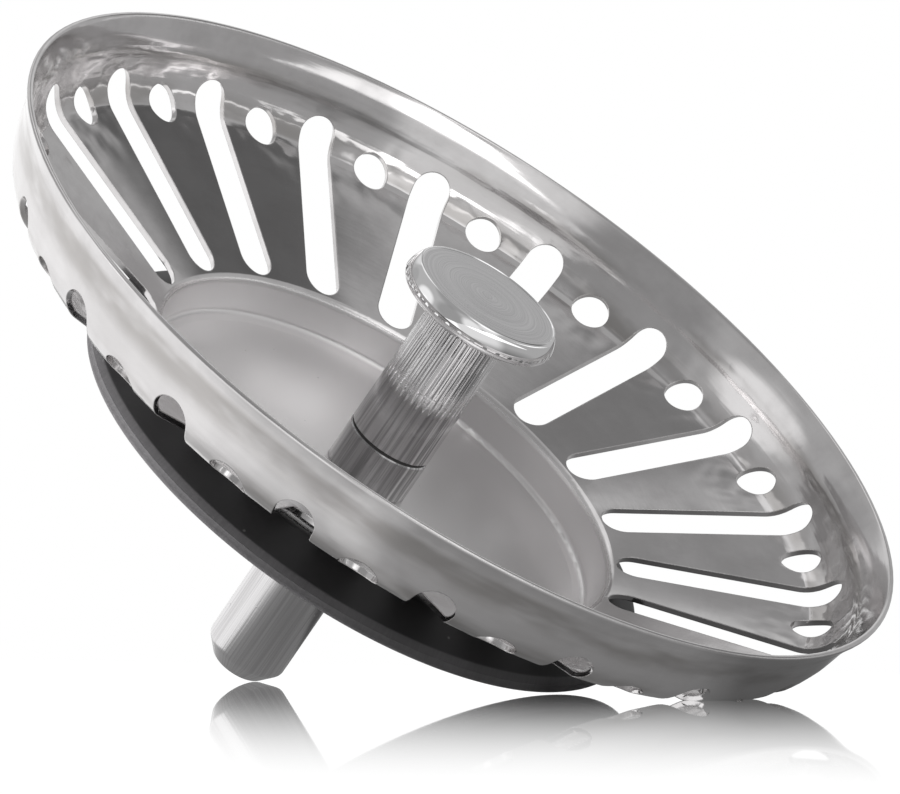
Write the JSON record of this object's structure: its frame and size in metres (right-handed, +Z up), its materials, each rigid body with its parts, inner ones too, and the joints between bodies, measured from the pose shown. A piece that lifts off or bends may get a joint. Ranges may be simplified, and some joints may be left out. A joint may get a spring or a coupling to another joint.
{
  "type": "sink basket strainer",
  "caption": "Round pressed-steel sink basket strainer with slotted sides, screwed pull knob on a post, cupped rubber seal and a plain tail pin for the drain hub.",
  "frame": {"origin": "centre of the tail pin's tip, on the strainer's axis", "axes": "+Z up along the post, from the tail pin to the knob; +X through the middle of one slot"},
  "size_m": [0.084, 0.084, 0.0408],
  "materials": {
    "basket_steel": "polished stainless sheet",
    "knob_chrome": "bright plated, lathe-finished top",
    "sleeve_chrome": "bright plated",
    "washer_fibre": "matt dark fibre",
    "stud_steel": "plain turned steel",
    "seal_rubber": "matt moulded rubber",
    "backing_steel": "plain washer steel",
    "pin_steel": "satin turned steel"
  },
  "bodies": {
    "strainer": {"strainer_basket": "basket_steel", "clamp_sleeve": "sleeve_chrome", "centre_stud": "stud_steel", "rubber_seal": "seal_rubber", "backing_washer": "backing_steel", "tail_pin": "pin_steel"},
    "washer": {"knob_washer": "washer_fibre"},
    "knob": {"pull_knob": "knob_chrome"}
  },
  "joints": [
    {"name": "knob_lift", "type": "slide", "parent": "strainer", "child": "washer", "axis": [0, 0, 1], "range_m": [0, 0.008]},
    {"name": "knob_turn", "type": "hinge", "parent": "washer", "child": "knob", "pos_m": [0, 0, 0.0254], "axis": [0, 0, 1], "range_deg": [0, 3600]}
  ],
  "couplings": [
    {"joint": "knob_lift", "follows": "knob_turn", "m_per_rad": 0.00012732}
  ]
}
